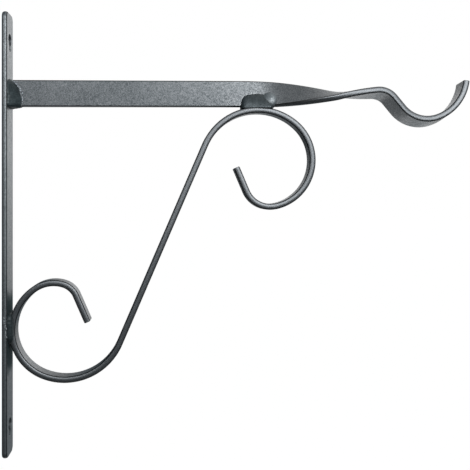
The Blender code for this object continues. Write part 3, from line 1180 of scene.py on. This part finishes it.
@dataclass
class ArmBead:
    """A weld bead that leans from the brace's upper ring up the arm's side."""

    name: str = "brace_to_arm_weld"
    middle: float = 0.1948
    length: float = 0.0250
    up_arm: float = 0.0116
    off_arm: float = 0.0043
    hang: float = 0.0020
    sunk: float = 0.0006
    ripple: float = 0.005
    corner_segments: int = 12
    profile: float = 0.42
    lumps: float = 0.0002
    lump_width: float = 0.0040
    rows: tuple[BeadRow, ...] = shaped(
        (0.00, 0.35, 0.40), (0.03, 0.62, 0.66), (0.07, 0.78, 0.80), (0.13, 0.90, 0.91), (0.22, 0.97, 0.96),
        (0.35, 1.00, 0.98), (0.50, 1.03, 1.00), (0.62, 1.02, 1.00), (0.74, 0.98, 0.98), (0.84, 0.88, 0.92),
        (0.92, 0.70, 0.78), (0.97, 0.50, 0.60), (1.00, 0.32, 0.40),
    )

    def corner(self, side: Side, place: float) -> tuple[Vector, float, float]:
        """The bead's inner corner, just inside the arm's side, below its lower edge.

        Args:
            side: the side of the arm.
            place: a share of the bead's length.

        Returns:
            The corner, the arm's heading and its twist there.
        """
        distance = self.middle - ARM_PATH.start.x + (place - 0.5) * self.length
        spot, heading = ARM_PATH.at(distance)
        twist = ARM_TWIST.at(distance)
        across = side.value * (ARM_THICKNESS / 2 - SUNK)
        along = -ARM_WIDTH / 2 - self.hang
        rise = along * math.cos(twist) - across * math.sin(twist)
        aside = across * math.cos(twist) + along * math.sin(twist)
        return spot + Vector((-rise * math.sin(heading), aside, rise * math.cos(heading))), heading, twist

    def build(self, side: Side) -> None:
        """Builds and dresses the bead on one side.

        Args:
            side: the side of the arm.
        """
        end = side.name.lower()
        rows = bead_rows(self.rows, self.length, self.ripple, side.value)
        corner, heading, twist = self.corner(side, 0.0)
        bead = add_section(f"{self.name}_{end}_bead", corner, Facing.OUT)
        round_corners(NEARLY_HALF, self.corner_segments, self.profile)
        stretch((1.0, 2 * self.off_arm * rows[0].second, 2 * self.up_arm * rows[0].first), corner)
        turn("X", twist, corner)
        turn("Y", heading, corner)
        for near, far in zip(rows, rows[1:]):
            onward, next_heading, next_twist = self.corner(side, far.place)
            pull(onward - corner)
            turn("Y", -heading, onward)
            turn("X", -twist, onward)
            stretch((1.0, far.second / near.second, far.first / near.first), onward)
            turn("X", next_twist, onward)
            turn("Y", next_heading, onward)
            corner, heading, twist = onward, next_heading, next_twist
        put_down()
        corner, _, twist = self.corner(side, 0.5)
        inward = into_arm(side, twist)
        trim(bead, corner, Vector((0.0, -math.sin(twist), -math.cos(twist))))
        trim(bead, corner + self.sunk * inward, inward)
        roughen(bead, self.lumps, self.lump_width)
        finish_mesh(bead, BEAD_SMOOTH_ANGLE)
        dress(bead, WELD_ENAMEL, WELD_SLOT, f"{self.name}_{end}")


ARM_BEAD = PlateBead(
    name="arm_to_plate_weld",
    top=0.1189,
    length=0.0221,
    off_plate=0.0122,
    over_plate=0.0084,
    rows=shaped(
        (0.00, 0.12, 0.50), (0.05, 0.24, 0.74), (0.11, 0.42, 0.90), (0.20, 0.60, 0.98), (0.29, 0.72, 1.00),
        (0.40, 0.82, 1.00), (0.54, 0.90, 1.00), (0.74, 0.98, 1.00), (0.86, 0.98, 1.00), (0.92, 0.90, 0.98),
        (0.96, 0.77, 0.92), (0.99, 0.60, 0.80), (1.00, 0.42, 0.62),
    ),
    fullness=NEARLY_HALF,
    profile=0.29,
    lumps=0.0004,
)
FOOT_BEAD = PlateBead(
    name="brace_to_plate_weld",
    top=-0.0600,
    length=0.0230,
    off_plate=0.0046,
    over_plate=0.0090,
    rows=shaped(
        (0.00, 0.40, 0.62), (0.03, 0.62, 0.76), (0.09, 0.82, 0.88), (0.18, 0.95, 0.96), (0.32, 1.00, 1.00),
        (0.50, 0.98, 1.00), (0.68, 1.00, 0.99), (0.82, 0.95, 0.96), (0.91, 0.82, 0.88), (0.97, 0.62, 0.76),
        (1.00, 0.40, 0.62),
    ),
    fullness=0.32,
    lap=0.0026,
    ripple=0.002,
)


@dataclass
class WeldNugget:
    """The round lump of metal at the outer end of the bead on top of the brace."""

    name: str = "brace_to_arm_nugget"
    place: float = 0.89
    rise: float = 0.0065
    radii: tuple[float, float, float] = (0.0066, 0.0034, 0.0064)
    lean: float = math.radians(17)
    subdivisions: int = 4
    blunted: float = 0.8
    lumps: float = 0.0004
    lump_width: float = 0.0050

    def build(self, side: Side) -> None:
        """Builds and dresses the lump on one side.

        Args:
            side: the side of the arm.
        """
        corner, _, twist = ArmBead().corner(side, self.place)
        middle = corner + self.rise * Vector((0.0, math.sin(twist), math.cos(twist)))
        put_down()
        bpy.ops.mesh.primitive_ico_sphere_add(subdivisions=self.subdivisions, radius=1.0, location=middle)
        nugget = named(f"{self.name}_{side.name.lower()}")
        open_mesh(nugget)
        stretch(self.radii, middle)
        pick(nugget, "FACE", lambda face: face.normal.x < -TOWARDS)
        stretch((self.blunted, 1.0, self.blunted), middle)
        open_mesh(nugget)
        turn("Z", -side.value * self.lean, middle)
        turn("X", twist, middle)
        put_down()
        inward = into_arm(side, twist)
        trim(nugget, middle + SUNK * inward, inward)
        roughen(nugget, self.lumps, self.lump_width)
        finish_mesh(nugget, BEAD_SMOOTH_ANGLE)
        dress(nugget, NUGGET_ENAMEL, WELD_SLOT)


@dataclass
class WeldSpatter:
    """Droplets that a weld threw beside its bead, in a row along (out, up) points on the steel's side."""

    name: str
    droplet_radius: float
    border: tuple[tuple[float, float], ...]
    off_middle: float
    finish: HammeredEnamel = SPATTER_ENAMEL
    per_stretch: int = 2
    scatter: float = 0.0012
    stray: tuple[float, float] = (-0.3, 0.7)
    spacing: tuple[float, float] = (0.1, 0.9)
    sizes: tuple[float, float] = (0.35, 1.2)
    flattened: tuple[float, float, float] = (1.0, 0.42, 1.2)
    lump: tuple[float, float, float] = (0.7, 0.7, 1.1)
    lump_from: float = 0.6
    seed: int = 11

    def droplet(self) -> Object:
        """One droplet: a ball flattened against the steel, with a lump of its own.

        Returns:
            The new object, at the origin.
        """
        put_down()
        bpy.ops.mesh.primitive_ico_sphere_add(subdivisions=2, radius=self.droplet_radius, location=Vector())
        drop = named(self.name)
        open_mesh(drop)
        stretch(self.flattened, Vector())
        pick(drop, "FACE", lambda face: face.normal.z > self.lump_from)
        stretch(self.lump, Vector())
        put_down()
        return drop

    def build(self, side: Side) -> None:
        """Builds and dresses the droplets on one side.

        Args:
            side: the side of the middle plane.
        """
        dice = random.Random(self.seed + side.value)
        face = side.value * self.off_middle
        first = self.droplet()
        copies = []
        for near, far in zip(self.border, self.border[1:]):
            for step in range(self.per_stretch):
                share = (step + dice.uniform(*self.spacing)) / self.per_stretch
                out = near[0] + (far[0] - near[0]) * share + dice.uniform(*self.stray) * self.scatter
                up = near[1] + (far[1] - near[1]) * share
                size = dice.uniform(*self.sizes)
                drop = bpy.data.objects.new(self.name, first.data.copy())
                sized = Matrix.Diagonal((size, size, size, 1.0))
                drop.data.transform(Matrix.Translation((out, face, up)) @ sized)
                bpy.context.scene.collection.objects.link(drop)
                copies.append(drop)
        bpy.data.objects.remove(first, do_unlink=True)
        put_down()
        for drop in copies:
            drop.select_set(True)
        bpy.context.view_layer.objects.active = copies[0]
        bpy.ops.object.join()
        spatter = bpy.context.active_object
        spatter.name = f"{self.name}_{side.name.lower()}"
        spatter.data.name = spatter.name
        finish_mesh(spatter, BEAD_SMOOTH_ANGLE)
        dress(spatter, self.finish, WELD_SLOT)


ARM_SPATTER = WeldSpatter(
    name="arm_weld_spatter",
    droplet_radius=0.00070,
    border=(
        (0.0052, 0.1180), (0.0080, 0.1164), (0.0101, 0.1146), (0.0115, 0.1125),
        (0.0127, 0.1097), (0.0135, 0.1064), (0.0139, 0.1035), (0.0141, 0.1006),
    ),
    off_middle=ARM_THICKNESS / 2,
)
FOOT_SPATTER = WeldSpatter(
    name="foot_weld_spatter",
    droplet_radius=0.00080,
    border=((0.0014, -0.0620), (0.0020, -0.0660), (0.0026, -0.0700), (0.0031, -0.0740), (0.0034, -0.0775)),
    off_middle=0.0098,
    finish=NUGGET_ENAMEL,
    per_stretch=4,
    scatter=0.0010,
)


# Studio


@dataclass
class SoftLamp:
    """A square soft box."""

    name: str
    place: tuple[float, float, float]
    size: float
    watts: float
    aim: tuple[float, float, float] = (0.15, 0.0, 0.0)

    def hang(self) -> None:
        """Adds the lamp, pointed at its aim."""
        data = bpy.data.lights.new(self.name, "AREA")
        data.shape = "SQUARE"
        data.size = self.size
        data.energy = self.watts
        lamp = bpy.data.objects.new(self.name, data)
        lamp.location = self.place
        lamp.visible_camera = False
        lamp.rotation_euler = (Vector(self.aim) - Vector(self.place)).to_track_quat("-Z", "Y").to_euler()
        bpy.context.scene.collection.objects.link(lamp)


def seen_itself(tree: Tree) -> Socket:
    """A socket that is 1 where a thing is seen itself, and 0 where it lights other things or is mirrored."""
    ray = new_node(tree, "ShaderNodeLightPath").outputs
    return reckon(tree, "MAXIMUM", ray["Is Camera Ray"], ray["Is Transmission Ray"])


@dataclass(frozen=True)
class Step:
    """A soft step of brightness: where it begins and ends, and its values before and after."""

    low: float
    high: float
    before: float
    after: float

    def over(self, tree: Tree, value: Socket) -> Socket:
        """The step's value over a socket."""
        return spread(tree, value, self.low, self.high, self.before, self.after)


@dataclass(frozen=True)
class WhiteRoom:
    """The world: white to the camera, and to the steel a room that is bright behind and darker around.

    The steps run over how far a direction points out from the wall, up, or away from the camera.
    """

    wall_up: Step = Step(-0.42, 0.26, 0.22, 1.44)
    wall_out: Step = Step(-0.42, 0.25, 0.08, 1.0)
    wall_top: Step = Step(0.20, 0.50, 1.0, 0.55)
    foot_ends: tuple[float, float] = (-0.10, 0.02)
    foot_out: Step = Step(0.04, 0.19, 0.10, 1.0)
    corner_up: Step = Step(-0.42, -0.20, 0.60, 0.0)
    corner_out: Step = Step(0.0, 0.22, 1.0, 0.0)
    sides_out: Step = Step(-0.6, 0.6, 0.05, 0.18)
    sides_up: Step = Step(-0.5, 0.0, 0.15, 1.0)
    end_wall_out: Step = Step(0.80, 0.97, 0.0, 0.22)
    ceiling_ends: tuple[float, float] = (0.20, 0.70)
    ceiling_out: Step = Step(-0.25, 0.15, 0.20, 0.75)
    behind: Step = Step(0.05, 0.45, 0.0, 1.0)
    whiter: Step = Step(0.0, 0.60, 0.0, 1.0)
    cool: tuple[float, float, float, float] = (0.74, 0.95, 1.08, 1.0)

    def brightness(self, tree: Tree) -> Socket:
        """How bright the room is in each direction: the wall behind the bracket, and the sides and the ceiling.

        Args:
            tree: the world's tree.

        Returns:
            The socket with the strength.
        """
        way = new_node(tree, "ShaderNodeSeparateXYZ")
        feed(tree, way, Vector=new_node(tree, "ShaderNodeTexCoord").outputs["Generated"])
        out, away, up = way.outputs
        foot = spread(tree, up, *self.foot_ends, self.foot_out.over(tree, out), 1.0)
        wall = times(tree, self.wall_up.over(tree, up), foot)
        wall = times(tree, wall, self.wall_out.over(tree, out))
        wall = times(tree, wall, self.wall_top.over(tree, up))
        corner = times(tree, self.corner_up.over(tree, up), self.corner_out.over(tree, out))
        wall = reckon(tree, "ADD", wall, corner)
        sides = times(tree, self.sides_out.over(tree, out), self.sides_up.over(tree, up))
        sides = reckon(tree, "ADD", sides, self.end_wall_out.over(tree, out))
        room = spread(tree, up, *self.ceiling_ends, sides, self.ceiling_out.over(tree, out))
        return mixed(tree, "FLOAT", self.behind.over(tree, away), room, wall)

    def light(self) -> None:
        """Puts the room around the scene."""
        world = bpy.data.worlds.new("white_room")
        bpy.context.scene.world = world
        world.use_nodes = True
        tree = world.node_tree
        strength = mixed(tree, "FLOAT", seen_itself(tree), self.brightness(tree), 1.0)
        tint = mixed(tree, "RGBA", self.whiter.over(tree, strength), self.cool, WHITE)
        feed(tree, tree.nodes["Background"], Color=tint, Strength=strength)


@dataclass
class Studio:
    """The camera, a plain pale floor and soft light."""

    camera_place: tuple[float, float, float] = (0.12483, -0.500, 0.02985)
    camera_yaw: float = math.radians(-4.5)
    sensor_width: float = 36.0
    lens_in_pixels: float = 635.2
    frame_pixels: float = 470.0
    axis_pixel: tuple[float, float] = (217.49, 195.5)
    floor_height: float = -1.20
    floor_span: float = 60.0
    floor_grey: float = 0.80
    floor_roughness: float = 0.9
    floor_glow: float = 1.07
    floor_glow_share: float = 0.90
    room: WhiteRoom = WhiteRoom()
    lamps: tuple[SoftLamp, ...] = (
        SoftLamp("right_box", (0.60, -1.05, 0.40), 0.60, 4.8),
        SoftLamp("front_fill", (0.14, -1.20, 0.42), 0.84, 3.9),
        SoftLamp("left_box", (-0.46, -1.12, 0.50), 0.34, 1.0),
        SoftLamp("low_card", (0.38, 0.25, -0.03), 0.20, 0.08, (0.33, 0.0, 0.09)),
    )

    def set_camera(self) -> None:
        """Puts the camera where the photograph was taken from."""
        data = bpy.data.cameras.new("photo_camera")
        data.sensor_width = self.sensor_width
        data.lens = self.sensor_width * self.lens_in_pixels / self.frame_pixels
        data.shift_x = 0.5 - self.axis_pixel[0] / self.frame_pixels
        data.shift_y = self.axis_pixel[1] / self.frame_pixels - 0.5
        data.clip_start = 0.01
        camera = bpy.data.objects.new("photo_camera", data)
        camera.location = self.camera_place
        camera.rotation_euler = (math.radians(90), 0.0, self.camera_yaw)
        bpy.context.scene.collection.objects.link(camera)
        bpy.context.scene.camera = camera

    def lay_floor(self) -> None:
        """Adds the floor, white to the camera, with a trace of the bracket's shadow."""
        put_down()
        bpy.ops.mesh.primitive_plane_add(size=self.floor_span, location=(0.0, 0.0, self.floor_height))
        floor = named("floor")
        material = bpy.data.materials.new("pale_floor")
        material.use_nodes = True
        tree = material.node_tree
        shader = tree.nodes["Principled BSDF"]
        grey = (self.floor_grey, self.floor_grey, self.floor_grey, 1.0)
        feed(tree, shader, Base_Color=grey, Roughness=self.floor_roughness)
        glow = new_node(tree, "ShaderNodeEmission")
        feed(tree, glow, Color=WHITE, Strength=self.floor_glow)
        mix = new_node(tree, "ShaderNodeMixShader")
        tree.links.new(times(tree, seen_itself(tree), self.floor_glow_share), mix.inputs[0])
        tree.links.new(shader.outputs[0], mix.inputs[1])
        tree.links.new(glow.outputs[0], mix.inputs[2])
        tree.links.new(mix.outputs[0], tree.nodes["Material Output"].inputs["Surface"])
        floor.data.materials.append(material)
        floor.visible_glossy = False

    def set_up(self) -> None:
        """Sets up everything that isn't the bracket."""
        bpy.context.scene.view_settings.view_transform = "Standard"
        self.set_camera()
        self.lay_floor()
        self.room.light()
        for lamp in self.lamps:
            lamp.hang()
        LOG.info("studio is set up")


def main() -> None:
    """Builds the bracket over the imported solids, and the studio around it."""
    logging.basicConfig(level=logging.INFO, format="%(name)s: %(message)s")
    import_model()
    Studio().set_up()
    BackPlate().build()
    HookArm().build()
    ScrollBrace().build()
    for side in Side:
        ARM_BEAD.build(side)
        FOOT_BEAD.build(side)
        ArmBead().build(side)
        WeldNugget().build(side)
        ARM_SPATTER.build(side)
        FOOT_SPATTER.build(side)


if __name__ == "__main__":
    main()
